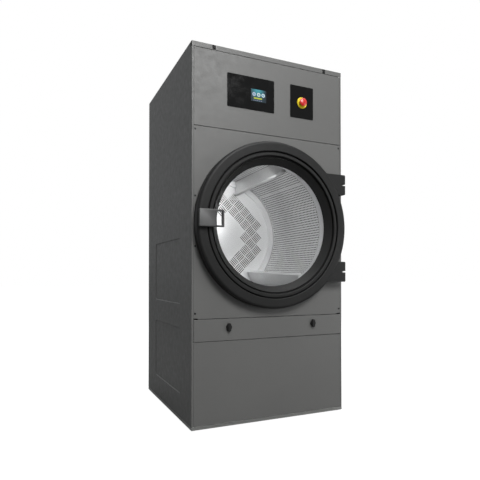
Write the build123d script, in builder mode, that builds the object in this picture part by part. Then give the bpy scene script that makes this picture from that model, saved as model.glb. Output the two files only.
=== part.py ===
from build123d import *
import math
import os

# Commercial tumble dryer, free standing, with a round glass door, a lint drawer and a
# control panel that hinges up for service. Millimetres, +Z up, +X to the right as seen
# from the front, front face towards -Y. The origin is on the floor, under the middle of
# the whole machine, between the front of the door handle and the end of the exhaust.

os.makedirs("parts", exist_ok=True)

# ---------------------------------------------------------------- driving dimensions
WIDTH = 785.0
HEIGHT = 1694.0
BODY_DEPTH = 810.0
REACH = 70.0  # the handle in front and the exhaust behind stand out by this much
FRONT = -BODY_DEPTH / 2
REAR = BODY_DEPTH / 2

SHEET = 1.5  # panel thickness
SEAM = 2.0  # gap between neighbouring front panels
FOLD_R = 1.2  # outside radius of a folded edge
FLANGE = 9.0  # visible front return of each side panel
TRAY = 18.0  # depth of the folded edges behind a front panel
INNER = WIDTH / 2 - FLANGE - 0.5  # half width of the panels between the flanges

PLINTH_TOP = 20.0
DRAWER_BOTTOM = 384.0
DRAWER_TOP = 482.0
CONTROL_BOTTOM = 1327.0
STRIP_BOTTOM = HEIGHT - 22.0
CONTROL_TOP = STRIP_BOTTOM - 2.0  # swings clear of the strip above it

DOOR_Z = 904.0  # height of the drum's and the door's centre
DOOR_R = 384.0
DOOR_REAR = FRONT - 4.0
DOOR_FACE = FRONT - 48.0
OPENING_R = 300.0
DRUM_R = 345.0
DRUM_START = FRONT + 62.0
DRUM_END = FRONT + 645.0
BULKHEAD = FRONT + 655.0  # front face of the rear bulkhead

HINGE_X = 374.0
HINGE_Y = FRONT - 26.0
EAR_Z = 213.0  # middle of each hinge ear above and below the door's centre
EAR_TALL = 98.0
EAR_EDGE = 383.0
KNUCKLE = 6.0  # height of a hinge arm
RUNNING = 0.05  # radial clearance of a pin in its bush
CLEAR = 0.3  # air between curved faces of different bodies

PULLEY_Y = FRONT + 743.0  # middle plane of the belt
DRUM_PULLEY_R = 280.0
MOTOR_PULLEY_R = 35.0
MOTOR_X, MOTOR_Z = 225.0, 262.0

FAN_Y, FAN_Z = FRONT + 400.0, 215.0
FAN_LEFT, FAN_RIGHT = -240.0, -90.0
EXHAUST_X, EXHAUST_Z, EXHAUST_R = -165.0, 145.0, 76.5

DRUM_AXIS = Axis((0, 0, DOOR_Z), (0, 1, 0))


def upright(y):
    """Sketch plane at depth y, seen from the front: positive extrusions come forward."""
    return Plane.XZ.offset(-y)


def keep(piece, name):
    """Labels a finished sub-part and writes its STEP file."""
    piece.part.label = name
    export_step(piece.part, f"parts/{name}.step")


def turned(points):
    """Solid ring or disc turned about the drum's axis from a (y, radius) outline."""
    with BuildPart() as ring:
        with BuildSketch(Plane.YZ):
            with BuildLine():
                Polyline(*[(y, DOOR_Z + radius) for y, radius in points], close=True)
            make_face()
        revolve(axis=DRUM_AXIS)
    return ring.part


def folded_tray(width, low, high, y, depth):
    """Front sheet with its four edges folded back."""
    with BuildPart() as sheet:
        with BuildSketch(upright(y)):
            with Locations((0, (low + high) / 2)):
                Rectangle(width, high - low)
        extrude(amount=-depth)
        fillet(sheet.faces().sort_by(Axis.Y)[0].edges(), FOLD_R)
        with BuildSketch(upright(y + SHEET)):
            with Locations((0, (low + high) / 2)):
                Rectangle(width - 2 * SHEET, high - low - 2 * SHEET)
        extrude(amount=-depth, mode=Mode.SUBTRACT)
    return sheet.part


# ---------------------------------------------------------------- base and feet
FOOT_PLATE = 5.0
RAIL = 46.0
FOOT_X, FOOT_Y = 345.0, 350.0
FRAME_TOP = 58.0
SKIN_GAP = SHEET + 0.5

with BuildPart() as base_frame:
    # C-shaped rails open to the inside: (bottom, height, inset from outside, inner edge)
    layers = [
        (FOOT_PLATE, 3.0, 0.0, RAIL),
        (FOOT_PLATE, PLINTH_TOP - FOOT_PLATE - 1, 0.0, 5.0),
        (FOOT_PLATE + 3, FRAME_TOP - FOOT_PLATE - 3, SKIN_GAP, 5.0),
        (FRAME_TOP - 3, 3.0, SKIN_GAP, RAIL),
    ]
    for bottom, tall, inset, inner in layers:
        with BuildSketch(Plane.XY.offset(bottom)):
            Rectangle(WIDTH - 2 * inset, BODY_DEPTH - 2 * inset)
            Rectangle(WIDTH - 2 * inner, BODY_DEPTH - 2 * inner, mode=Mode.SUBTRACT)
        extrude(amount=tall)
    # cross members under the blower
    with BuildSketch(Plane.XY.offset(FOOT_PLATE + 3)):
        with Locations((0, FAN_Y - 90), (0, FAN_Y + 90)):
            Rectangle(WIDTH - 8, 30)
    extrude(amount=FRAME_TOP - FOOT_PLATE - 3)
    with BuildSketch(Plane.XY.offset(FOOT_PLATE)):
        with GridLocations(2 * FOOT_X, 2 * FOOT_Y, 2, 2):
            Circle(6.5)
    extrude(amount=3.0, mode=Mode.SUBTRACT)
keep(base_frame, "base_frame")

with BuildPart() as levelling_feet:
    with BuildSketch(Plane.XY):
        with GridLocations(2 * FOOT_X, 2 * FOOT_Y, 2, 2):
            Circle(22)
    extrude(amount=FOOT_PLATE - 0.2, taper=8)
    with BuildSketch(Plane.XY.offset(2)):
        with GridLocations(2 * FOOT_X, 2 * FOOT_Y, 2, 2):
            Circle(6)
    extrude(amount=42)
    with BuildSketch(Plane.XY.offset(FOOT_PLATE + 3)):
        with GridLocations(2 * FOOT_X, 2 * FOOT_Y, 2, 2):
            RegularPolygon(10.5, 6)
    extrude(amount=10)
keep(levelling_feet, "levelling_feet")

# ---------------------------------------------------------------- side panels
# Two pressed fields stiffen each big side sheet: (low z, high z)
PRESSED_FIELDS = [(540.0, 848.0), (125.0, 430.0)]
FIELD_FRONT, FIELD_BACK = FRONT + 165.0, FRONT + 640.0
FIELD_MID, FIELD = (FIELD_FRONT + FIELD_BACK) / 2, FIELD_BACK - FIELD_FRONT
PRESS = 3.0
REAR_RETURN = 16.0

for side, name in ((-1, "left"), (1, "right")):
    outer = side * WIDTH / 2
    with BuildPart() as side_panel:
        with BuildSketch(Plane.XY.offset(PLINTH_TOP)):
            with BuildLine():
                Polyline(
                    (outer - side * FLANGE, FRONT),
                    (outer, FRONT),
                    (outer, REAR),
                    (outer - side * REAR_RETURN, REAR),
                    (outer - side * REAR_RETURN, REAR - SHEET),
                    (outer - side * SHEET, REAR - SHEET),
                    (outer - side * SHEET, FRONT + SHEET),
                    (outer - side * (FLANGE - SHEET), FRONT + SHEET),
                    (outer - side * (FLANGE - SHEET), FRONT + 14),
                    (outer - side * FLANGE, FRONT + 14),
                    close=True,
                )
            make_face()
        extrude(amount=HEIGHT - SHEET - PLINTH_TOP)
        upright_edges = side_panel.edges().filter_by(Axis.Z)
        corner = upright_edges.sort_by(lambda e: abs(e.center().X - outer) + e.center().Y)[0]
        fillet(corner, radius=1.4)
        # the top cover's front flange takes the last stretch of the corner
        with BuildSketch(Plane.XY.offset(STRIP_BOTTOM - 1)):
            with Locations((outer, FRONT)):
                Rectangle(2 * FLANGE + 6, 2 * TRAY)
        extrude(amount=HEIGHT - STRIP_BOTTOM + 1, mode=Mode.SUBTRACT)
        # the front return's lip stops above the base frame
        with BuildSketch(Plane.XY.offset(PLINTH_TOP)):
            with Locations((outer - side * FLANGE, FRONT + SHEET + 8)):
                Rectangle(2 * SHEET + 1, 16)
        extrude(amount=FRAME_TOP - PLINTH_TOP + 2, mode=Mode.SUBTRACT)
        for low, high in PRESSED_FIELDS:
            with BuildSketch(Plane.YZ.offset(outer - side * SHEET)):
                with Locations((FIELD_MID, (low + high) / 2)):
                    RectangleRounded(FIELD + 4, high - low + 4, 22)
            extrude(amount=-side * PRESS)
        for low, high in PRESSED_FIELDS:
            with BuildSketch(Plane.YZ.offset(outer)):
                with Locations((FIELD_MID, (low + high) / 2)):
                    RectangleRounded(FIELD, high - low, 20)
            with BuildSketch(Plane.YZ.offset(outer - side * PRESS)):
                with Locations((FIELD_MID, (low + high) / 2)):
                    RectangleRounded(FIELD - 7, high - low - 7, 16.5)
            loft(mode=Mode.SUBTRACT)
    keep(side_panel, f"{name}_side_panel")

# ---------------------------------------------------------------- top, rear, front sheets
CONTROL_HINGE_X = 290.0
CONTROL_HINGE_Y, CONTROL_HINGE_Z = FRONT + 5.0, HEIGHT - 11.0
LUG_OFFSET = 12.0  # each hinge lug stands this far beside the leaf's middle
NOTCH = 16.0

with BuildPart() as top_cover:
    with BuildSketch(Plane.XY.offset(HEIGHT - SHEET)):
        Rectangle(WIDTH, BODY_DEPTH)
    extrude(amount=SHEET)
    with BuildSketch(upright(FRONT)):
        with Locations((0, (STRIP_BOTTOM + HEIGHT) / 2)):
            Rectangle(WIDTH, HEIGHT - STRIP_BOTTOM)
    extrude(amount=-SHEET)
    fillet(top_cover.edges().filter_by(Axis.X).group_by(Axis.Z)[-1].sort_by(Axis.Y)[0], 1.4)
    # lugs welded under the cover carry the control panel's hinge pins
    for x in (-CONTROL_HINGE_X, CONTROL_HINGE_X):
        for beside in (-LUG_OFFSET, LUG_OFFSET):
            with BuildSketch(Plane.YZ.offset(x + beside - 1.5)):
                with Locations((FRONT + SHEET + 10, HEIGHT - SHEET - 10)):
                    Rectangle(20, 20)
                with Locations((CONTROL_HINGE_Y, CONTROL_HINGE_Z)):
                    Circle(2, mode=Mode.SUBTRACT)
            extrude(amount=3)
    with BuildSketch(upright(FRONT)):
        for x in (-CONTROL_HINGE_X, CONTROL_HINGE_X):
            with Locations((x, (STRIP_BOTTOM + HEIGHT - SHEET) / 2)):
                Rectangle(NOTCH, HEIGHT - SHEET - STRIP_BOTTOM)
    extrude(amount=-SHEET, mode=Mode.SUBTRACT)
keep(top_cover, "top_cover")

LOUVRE_Z, LOUVRE_W, LOUVRE_H, SLATS = 1500.0, 420.0, 130.0, 7
GLAND_X, GLAND_Z, GLAND_R = 250.0, 140.0, 12.5

with BuildPart() as rear_panel:
    with BuildSketch(upright(REAR - SHEET)):
        with Locations((0, (PLINTH_TOP + HEIGHT - SHEET) / 2)):
            Rectangle(WIDTH - 2 * REAR_RETURN - 1, HEIGHT - SHEET - PLINTH_TOP)
        with Locations((EXHAUST_X, EXHAUST_Z)):
            Circle(EXHAUST_R + 2, mode=Mode.SUBTRACT)
        with Locations((0, LOUVRE_Z)):
            Rectangle(LOUVRE_W, LOUVRE_H, mode=Mode.SUBTRACT)
        with Locations((GLAND_X, GLAND_Z)):
            Circle(GLAND_R, mode=Mode.SUBTRACT)
    extrude(amount=-SHEET)
keep(rear_panel, "rear_panel")

with BuildPart() as intake_louvre:
    with BuildSketch(upright(REAR)):
        with Locations((0, LOUVRE_Z)):
            Rectangle(LOUVRE_W + 30, LOUVRE_H + 30)
            Rectangle(LOUVRE_W - 10, LOUVRE_H - 10, mode=Mode.SUBTRACT)
    extrude(amount=-2)
    for k in range(SLATS):
        z = LOUVRE_Z + (k - (SLATS - 1) / 2) * (LOUVRE_H - 12) / SLATS
        with BuildSketch(Plane.YZ.offset(2 - LOUVRE_W / 2)):
            with BuildLine():
                Polyline((REAR, z), (REAR + 10, z - 9), (REAR + 10, z - 7), (REAR, z + 2), close=True)
            make_face()
        extrude(amount=LOUVRE_W - 4)
keep(intake_louvre, "intake_louvre")

MAGNET_X, MAGNET_Z, MAGNET_R = -352.0, DOOR_Z + 62.0, 9.0
front_blank = folded_tray(2 * INNER, DRAWER_TOP, CONTROL_BOTTOM - SEAM, FRONT, TRAY)
arm_slots = [(HINGE_X - 2, DOOR_Z + s * EAR_Z) for s in (-1, 1)]

with BuildPart() as front_panel:
    add(front_blank)
    with BuildSketch(upright(FRONT)):
        with Locations((0, DOOR_Z)):
            Circle(OPENING_R)
        with Locations((MAGNET_X, MAGNET_Z)):
            Circle(MAGNET_R + 0.2)
        with Locations(*arm_slots):
            Rectangle(16, KNUCKLE + 1)
    extrude(amount=-SHEET, mode=Mode.SUBTRACT)
    # relief notches at the lower corners
    with BuildSketch(upright(FRONT)):
        with Locations((-INNER + 10, DRAWER_TOP + 2), (INNER - 10, DRAWER_TOP + 2)):
            Rectangle(20, 4)
    extrude(amount=-TRAY, mode=Mode.SUBTRACT)
keep(front_panel, "front_panel")

lower_blank = folded_tray(2 * INNER, PLINTH_TOP, DRAWER_BOTTOM - SEAM, FRONT, TRAY)
with BuildPart() as lower_front_panel:
    add(lower_blank)
    # no folds where the base frame stands behind the sheet
    with BuildSketch(upright(FRONT + SHEET)):
        with Locations((0, (PLINTH_TOP + FRAME_TOP + 2) / 2)):
            Rectangle(WIDTH, FRAME_TOP + 2 - PLINTH_TOP)
    extrude(amount=-TRAY, mode=Mode.SUBTRACT)
keep(lower_front_panel, "lower_front_panel")

SCREW_X = INNER - 7.0
screw_heads = [(s * SCREW_X, z) for s in (-1, 1) for z in (507.0, 800.0, 1019.0, 1310.0)]
with BuildPart() as panel_screws:
    with BuildSketch(upright(FRONT)):
        with Locations(*screw_heads):
            Circle(4.5)
    extrude(amount=1.8, taper=25)
    with BuildSketch(upright(FRONT - 1.8)):
        with Locations(*screw_heads):
            RegularPolygon(1.6, 6)
    extrude(amount=-1.2, mode=Mode.SUBTRACT)
keep(panel_screws, "panel_screws")

# ---------------------------------------------------------------- round the drum
collar_ring = turned([
    (FRONT + SHEET, OPENING_R), (FRONT + 56, OPENING_R), (FRONT + 56, OPENING_R + SHEET),
    (FRONT + 2 * SHEET, OPENING_R + SHEET), (FRONT + 2 * SHEET, OPENING_R + 24),
    (FRONT + SHEET, OPENING_R + 24),
])
with BuildPart() as door_collar:
    add(collar_ring)
keep(door_collar, "door_collar")

seal_ring = turned([
    (FRONT + 46, OPENING_R + SHEET), (DRUM_START - 0.5, OPENING_R + SHEET),
    (DRUM_START - 0.5, OPENING_R + 8), (FRONT + 46, OPENING_R + 8),
])
with BuildPart() as felt_seal:
    add(seal_ring)
keep(felt_seal, "felt_seal")

CASING_R = 364.0
PLENUM_X = 290.0
PLENUM_BOTTOM = DRAWER_BOTTOM + 4
PLENUM_FRONT, PLENUM_BACK = FRONT + 28, BULKHEAD - 5
PLENUM_LENGTH, PLENUM_MID = PLENUM_BACK - PLENUM_FRONT, (PLENUM_FRONT + PLENUM_BACK) / 2
PLENUM_TOP = DOOR_Z - math.sqrt(CASING_R**2 - PLENUM_X**2)

casing_ring = turned([
    (PLENUM_FRONT, CASING_R), (BULKHEAD, CASING_R),
    (BULKHEAD, CASING_R + SHEET), (PLENUM_FRONT, CASING_R + SHEET),
])
with BuildPart() as drum_casing:
    # open below, where the drum's air drops into the lint plenum
    add(casing_ring)
    with BuildSketch(Plane.XY.offset(DOOR_Z - CASING_R - 20)):
        Rectangle(2 * PLENUM_X, BODY_DEPTH)
    extrude(amount=200, mode=Mode.SUBTRACT)
keep(drum_casing, "drum_casing")

RUNNER_Z = PLENUM_BOTTOM + 14
SUCTION_X = -265.0
DRAWER_MOUTH = DRAWER_TOP - 6
with BuildPart() as lint_plenum:
    with BuildSketch(Plane.XY.offset(PLENUM_BOTTOM)):
        with Locations((0, PLENUM_MID)):
            Rectangle(2 * PLENUM_X, PLENUM_LENGTH)
    extrude(amount=PLENUM_TOP - PLENUM_BOTTOM)
    with BuildSketch(Plane.XY.offset(PLENUM_BOTTOM + 2)):
        with Locations((0, PLENUM_MID)):
            Rectangle(2 * PLENUM_X - 4, PLENUM_LENGTH - 4)
    extrude(amount=PLENUM_TOP - PLENUM_BOTTOM, mode=Mode.SUBTRACT)
    # suction port above the blower
    with BuildSketch(Plane.XY.offset(PLENUM_BOTTOM)):
        with Locations((SUCTION_X, FAN_Y)):
            Rectangle(36, 150)
    extrude(amount=2, mode=Mode.SUBTRACT)
    # mouth for the drawer, and room for the drum's underside
    with BuildSketch(upright(PLENUM_FRONT)):
        with Locations((0, (PLENUM_BOTTOM + 2 + DRAWER_MOUTH) / 2)):
            Rectangle(2 * PLENUM_X - 4, DRAWER_MOUTH - PLENUM_BOTTOM - 2)
    extrude(amount=-2, mode=Mode.SUBTRACT)
    with BuildSketch(upright(PLENUM_FRONT)):
        with Locations((0, DOOR_Z)):
            Circle(CASING_R + SHEET)
    extrude(amount=-PLENUM_LENGTH, mode=Mode.SUBTRACT)
    # angle rails that the lint screen slides on
    for side in (-1, 1):
        with BuildSketch(Plane.XZ.offset(-PLENUM_FRONT - 4)):
            with Locations((side * (PLENUM_X - 14), RUNNER_Z - 1)):
                Rectangle(26, 2)
        extrude(amount=-(PLENUM_LENGTH - 8))
keep(lint_plenum, "lint_plenum")

HEATER_LOW, HEATER_HIGH, HEATER_X = 1115.0, 1330.0, 200.0
HEATER_FRONT, HEATER_DEPTH = BULKHEAD + 3, 68.0
CHANNEL_X, CHANNEL_DEPTH = 150.0, 24.0
with BuildPart() as rear_bulkhead:
    with BuildSketch(upright(BULKHEAD)):
        with Locations((0, (DRAWER_TOP + CONTROL_BOTTOM) / 2)):
            Rectangle(WIDTH - 8, CONTROL_BOTTOM - DRAWER_TOP)
        with Locations((0, DOOR_Z)):
            Circle(50, mode=Mode.SUBTRACT)
        with Locations((0, 1160)):
            Rectangle(300, 60, mode=Mode.SUBTRACT)
    extrude(amount=-3)
    # two upright channels carry the bearing housing
    for x in (-CHANNEL_X, CHANNEL_X):
        with BuildSketch(Plane.XY.offset(DRAWER_TOP)):
            with Locations((x, HEATER_FRONT + CHANNEL_DEPTH / 2)):
                Rectangle(40, CHANNEL_DEPTH)
                Rectangle(34, CHANNEL_DEPTH - 6, mode=Mode.SUBTRACT)
        extrude(amount=HEATER_LOW - 5 - DRAWER_TOP)
keep(rear_bulkhead, "rear_bulkhead")

with BuildPart() as heater_box:
    with BuildSketch(upright(HEATER_FRONT)):
        with Locations((0, (HEATER_LOW + HEATER_HIGH) / 2)):
            Rectangle(2 * HEATER_X, HEATER_HIGH - HEATER_LOW)
    extrude(amount=-HEATER_DEPTH)
    with BuildSketch(upright(HEATER_FRONT)):
        with Locations((0, (HEATER_LOW + HEATER_HIGH) / 2 + 2)):
            Rectangle(2 * HEATER_X - 4, HEATER_HIGH - HEATER_LOW)
    extrude(amount=-HEATER_DEPTH + 2, mode=Mode.SUBTRACT)
keep(heater_box, "heater_box")

ROD_R, ROD_TURN = 4.0, 14.0
with BuildPart() as heating_elements:
    # hairpin rods across the air stream, held by the box's right wall
    for z in (1205.0, 1250.0, 1295.0):
        y = HEATER_FRONT + 18
        start, far = HEATER_X - 2, -HEATER_X + 40
        with BuildLine(mode=Mode.PRIVATE) as hairpin:
            Line((start, y, z), (far, y, z))
            ThreePointArc((far, y, z), (far - ROD_TURN, y + ROD_TURN, z), (far, y + 2 * ROD_TURN, z))
            Line((far, y + 2 * ROD_TURN, z), (start, y + 2 * ROD_TURN, z))
        with BuildSketch(Plane(origin=(start, y, z), z_dir=(-1, 0, 0))):
            Circle(ROD_R)
        sweep(path=hairpin.wire())
keep(heating_elements, "heating_elements")

# ---------------------------------------------------------------- drum
LIP = OPENING_R + 4
DRUM_WALL = 1.5
shell_profile = [
    (DRUM_START, LIP), (DRUM_START + DRUM_WALL, LIP), (DRUM_START + DRUM_WALL, DRUM_R),
    (DRUM_END, DRUM_R), (DRUM_END, DRUM_R + DRUM_WALL), (DRUM_START, DRUM_R + DRUM_WALL),
]
shell_ring = turned(shell_profile)
with BuildPart() as drum_shell:
    add(shell_ring)
keep(drum_shell, "drum_shell")

# the back plate is a dished sheet: a stepped rim, a flat field and a raised centre, whose
# boss takes the shaft's flange
HUB_R = 45.0
RIM_Y, FIELD_Y, CENTRE_Y = DRUM_END - 18, DRUM_END - 12, DRUM_END - 16
PLATE = 2.0
plate_disc = turned([
    (DRUM_END - 4, DRUM_R), (RIM_Y, DRUM_R - 8), (RIM_Y, DRUM_R - 34), (FIELD_Y, DRUM_R - 38),
    (FIELD_Y, 120), (CENTRE_Y, 110), (CENTRE_Y, 0), (DRUM_END, 0), (DRUM_END, HUB_R + 5),
    (CENTRE_Y + PLATE, HUB_R + 5), (CENTRE_Y + PLATE, 110), (FIELD_Y + PLATE, 120),
    (FIELD_Y + PLATE, DRUM_R - 37), (RIM_Y + PLATE, DRUM_R - 33), (RIM_Y + PLATE, DRUM_R - 9),
    (DRUM_END, DRUM_R - PLATE), (DRUM_END, DRUM_R),
])
with BuildPart() as drum_back_plate:
    add(plate_disc)
keep(drum_back_plate, "drum_back_plate")

LIFTER_ANGLES = (70.0, 190.0, 310.0)
LIFTER_FOOT, LIFTER_TIP = 62.0, 16.0  # widths at the shell and at the free edge
LIFTER_FRONT, LIFTER_BACK = DRUM_START + 8, DRUM_END - 22
LIFTER_LOW, LIFTER_HIGH = 50.0, 80.0  # reach into the drum, in front and behind
LIFTER_WALL = 1.5


def rib(angle, inset):
    """Tapered lifter on the drum's wall, each of its walls moved in by inset."""
    out = math.radians(angle)
    root = math.sqrt(DRUM_R**2 - (LIFTER_FOOT / 2) ** 2) - 0.5 + inset
    foot, tip = LIFTER_FOOT / 2 - 1.2 * inset, LIFTER_TIP / 2 - 0.8 * inset
    with BuildPart() as body:
        for y, reach in ((LIFTER_FRONT + inset, LIFTER_LOW), (LIFTER_BACK - inset, LIFTER_HIGH)):
            edge = DRUM_R - reach + inset
            across = Plane(
                origin=(0, y, DOOR_Z), x_dir=(math.cos(out), 0, math.sin(out)), z_dir=(0, -1, 0)
            )
            with BuildSketch(across):
                with BuildLine():
                    Polyline((root, -foot), (edge, -tip), (edge, tip), (root, foot), close=True)
                make_face()
        loft()
    return body.part


ribs = [(rib(angle, 0.0), rib(angle, LIFTER_WALL)) for angle in LIFTER_ANGLES]
with BuildPart() as drum_lifters:
    # folded sheet ribs, open towards the shell that they are screwed to
    for outside, inside in ribs:
        add(outside)
        add(inside, mode=Mode.SUBTRACT)
keep(drum_lifters, "drum_lifters")

SHAFT_R = 30.0
HOUSING_FRONT, HOUSING_BACK = HEATER_FRONT, FRONT + 722
with BuildPart() as drum_shaft:
    with BuildSketch(upright(DRUM_END)):
        with Locations((0, DOOR_Z)):
            Circle(HUB_R)
    extrude(amount=-8)
    with BuildSketch(upright(DRUM_END + 8)):
        with Locations((0, DOOR_Z)):
            Circle(SHAFT_R)
    extrude(amount=-(PULLEY_Y + 14 - DRUM_END - 8))
keep(drum_shaft, "drum_shaft")

BELT_W, BELT_T = 14.0, 4.0
with BuildPart() as drum_pulley:
    with BuildSketch(upright(PULLEY_Y - BELT_W / 2 - 1)):
        with Locations((0, DOOR_Z)):
            Circle(DRUM_PULLEY_R)
            Circle(DRUM_PULLEY_R - 10, mode=Mode.SUBTRACT)
    extrude(amount=-(BELT_W + 2))
    with BuildSketch(upright(PULLEY_Y - 3)):
        with Locations((0, DOOR_Z)):
            Circle(70)
            with PolarLocations(0, 6):
                with Locations((DRUM_PULLEY_R / 2, 0)):
                    Rectangle(DRUM_PULLEY_R - 12, 34)
    extrude(amount=-6)
    with BuildSketch(upright(PULLEY_Y - 12)):
        with Locations((0, DOOR_Z)):
            Circle(50)
    extrude(amount=-24)
    with BuildSketch(upright(PULLEY_Y - 12)):
        with Locations((0, DOOR_Z)):
            Circle(SHAFT_R)
    extrude(amount=-24, mode=Mode.SUBTRACT)
keep(drum_pulley, "drum_pulley")

BEARING_R = 46.0
with BuildPart() as bearing_housing:
    with BuildSketch(upright(HOUSING_FRONT)):
        with Locations((0, DOOR_Z)):
            Circle(66)
            Circle(BEARING_R, mode=Mode.SUBTRACT)
    extrude(amount=-(HOUSING_BACK - HOUSING_FRONT))
    # cross arms bolted to the bulkhead's channels
    with BuildSketch(upright(HEATER_FRONT + CHANNEL_DEPTH)):
        for z in (DOOR_Z - 28, DOOR_Z + 28):
            with Locations((0, z)):
                Rectangle(2 * CHANNEL_X + 40, 26)
        with Locations((0, DOOR_Z)):
            Circle(BEARING_R, mode=Mode.SUBTRACT)
    extrude(amount=-12)
keep(bearing_housing, "bearing_housing")

with BuildPart() as drum_bearings:
    for y in (HOUSING_FRONT + 2, HOUSING_BACK - 20):
        with BuildSketch(upright(y)):
            with Locations((0, DOOR_Z)):
                Circle(BEARING_R)
                Circle(SHAFT_R + RUNNING, mode=Mode.SUBTRACT)
        extrude(amount=-18)
keep(drum_bearings, "drum_bearings")

# ---------------------------------------------------------------- drive
MOTOR_R = 68.0
MOTOR_FRONT, MOTOR_BACK = FRONT + 540, FRONT + 705
with BuildPart() as drive_motor:
    with BuildSketch(upright(MOTOR_FRONT)):
        with Locations((MOTOR_X, MOTOR_Z)):
            Circle(MOTOR_R)
    extrude(amount=-(MOTOR_BACK - MOTOR_FRONT))
    fillet(drive_motor.edges().filter_by(GeomType.CIRCLE), 8)
    with BuildSketch(upright(MOTOR_FRONT + 20)):
        with Locations((MOTOR_X, MOTOR_Z)):
            with PolarLocations(MOTOR_R, 24):
                Rectangle(9, 3)
    extrude(amount=-(MOTOR_BACK - MOTOR_FRONT - 40))
    with BuildSketch(upright(MOTOR_FRONT - 1)):
        with Locations((MOTOR_X, MOTOR_Z)):
            Circle(11 + RUNNING)
    extrude(amount=-(MOTOR_BACK - MOTOR_FRONT + 2), mode=Mode.SUBTRACT)
keep(drive_motor, "drive_motor")

with BuildPart() as motor_rotor:
    # shaft and small pulley in one piece
    with BuildSketch(upright(MOTOR_FRONT + 6)):
        with Locations((MOTOR_X, MOTOR_Z)):
            Circle(11)
    extrude(amount=-(PULLEY_Y + 12 - MOTOR_FRONT - 6))
    with BuildSketch(upright(PULLEY_Y - BELT_W / 2 - 1)):
        with Locations((MOTOR_X, MOTOR_Z)):
            Circle(MOTOR_PULLEY_R)
    extrude(amount=-(BELT_W + 2))
keep(motor_rotor, "motor_rotor")

SADDLE_LEFT, SADDLE_RIGHT = MOTOR_X - 66, MOTOR_X + 66
with BuildPart() as motor_bracket:
    with BuildSketch(Plane.XY.offset(FRAME_TOP)):
        with Locations((SADDLE_LEFT, MOTOR_FRONT + 10)):
            Rectangle(WIDTH / 2 - 8 - SADDLE_LEFT, REAR - 8 - MOTOR_FRONT - 10, align=Align.MIN)
    extrude(amount=4)
    for y in (MOTOR_FRONT + 24, MOTOR_BACK - 30):
        with BuildSketch(upright(y)):
            with Locations((MOTOR_X, FRAME_TOP + 4)):
                Rectangle(
                    SADDLE_RIGHT - SADDLE_LEFT, MOTOR_Z - 30 - FRAME_TOP,
                    align=(Align.CENTER, Align.MIN),
                )
            with Locations((MOTOR_X, MOTOR_Z)):
                Circle(MOTOR_R + 4.7, mode=Mode.SUBTRACT)
        extrude(amount=-6)
keep(motor_bracket, "motor_bracket")

with BuildSketch(upright(PULLEY_Y - BELT_W / 2)) as belt_inside:
    with Locations((0, DOOR_Z)):
        Circle(DRUM_PULLEY_R + CLEAR)
    with Locations((MOTOR_X, MOTOR_Z)):
        Circle(MOTOR_PULLEY_R + CLEAR)
    make_hull()
with BuildPart() as drive_belt:
    with BuildSketch(upright(PULLEY_Y - BELT_W / 2)):
        with Locations((0, DOOR_Z)):
            Circle(DRUM_PULLEY_R + CLEAR + BELT_T)
        with Locations((MOTOR_X, MOTOR_Z)):
            Circle(MOTOR_PULLEY_R + CLEAR + BELT_T)
        make_hull()
    extrude(amount=-BELT_W)
    extrude(belt_inside.sketch, amount=-BELT_W, mode=Mode.SUBTRACT)
keep(drive_belt, "drive_belt")

# ---------------------------------------------------------------- blower and exhaust
SCROLL_R = 120.0
SCROLL_WALL = 2.0
OUTLET_Y, OUTLET_TALL = FRONT + 570.0, 100.0
OUTLET_Z = FAN_Z - SCROLL_R + OUTLET_TALL / 2
INLET_R = 62.0
FAN_WIDTH = FAN_RIGHT - FAN_LEFT

with BuildPart() as blower_housing:
    with BuildSketch(Plane.YZ.offset(FAN_LEFT)):
        with Locations((FAN_Y, FAN_Z)):
            Circle(SCROLL_R)
        with Locations((FAN_Y, OUTLET_Z)):
            Rectangle(OUTLET_Y - FAN_Y, OUTLET_TALL, align=(Align.MIN, Align.CENTER))
    extrude(amount=FAN_WIDTH)
    # suction duct from the plenum's port to the scroll's eye
    with BuildSketch(Plane.XY.offset(FAN_Z - INLET_R - 12)):
        with Locations((FAN_LEFT - 25, FAN_Y)):
            Rectangle(50, 160)
    extrude(amount=PLENUM_BOTTOM - FAN_Z + INLET_R + 12)
    # legs down to the frame's cross members
    for y in (FAN_Y - 90, FAN_Y + 90):
        with BuildSketch(Plane.XY.offset(FRAME_TOP)):
            with Locations(((FAN_LEFT + FAN_RIGHT) / 2, y)):
                Rectangle(FAN_WIDTH, 3)
        extrude(amount=FAN_Z - FRAME_TOP)
    with BuildSketch(Plane.YZ.offset(FAN_LEFT + SCROLL_WALL)):
        with Locations((FAN_Y, FAN_Z)):
            Circle(SCROLL_R - SCROLL_WALL)
        with Locations((FAN_Y, OUTLET_Z)):
            Rectangle(
                OUTLET_Y - FAN_Y, OUTLET_TALL - 2 * SCROLL_WALL, align=(Align.MIN, Align.CENTER)
            )
    extrude(amount=FAN_WIDTH - 2 * SCROLL_WALL, mode=Mode.SUBTRACT)
    with BuildSketch(Plane.XY.offset(FAN_Z - INLET_R - 10)):
        with Locations((FAN_LEFT - 25, FAN_Y)):
            Rectangle(46, 156)
    extrude(amount=PLENUM_BOTTOM - FAN_Z + INLET_R + 10, mode=Mode.SUBTRACT)
    with BuildSketch(Plane.YZ.offset(FAN_LEFT - 4)):
        with Locations((FAN_Y, FAN_Z)):
            Circle(INLET_R)
    extrude(amount=8, mode=Mode.SUBTRACT)
    with BuildSketch(Plane.YZ.offset(FAN_RIGHT - 4)):
        with Locations((FAN_Y, FAN_Z)):
            Circle(14)
    extrude(amount=8, mode=Mode.SUBTRACT)
keep(blower_housing, "blower_housing")

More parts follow.
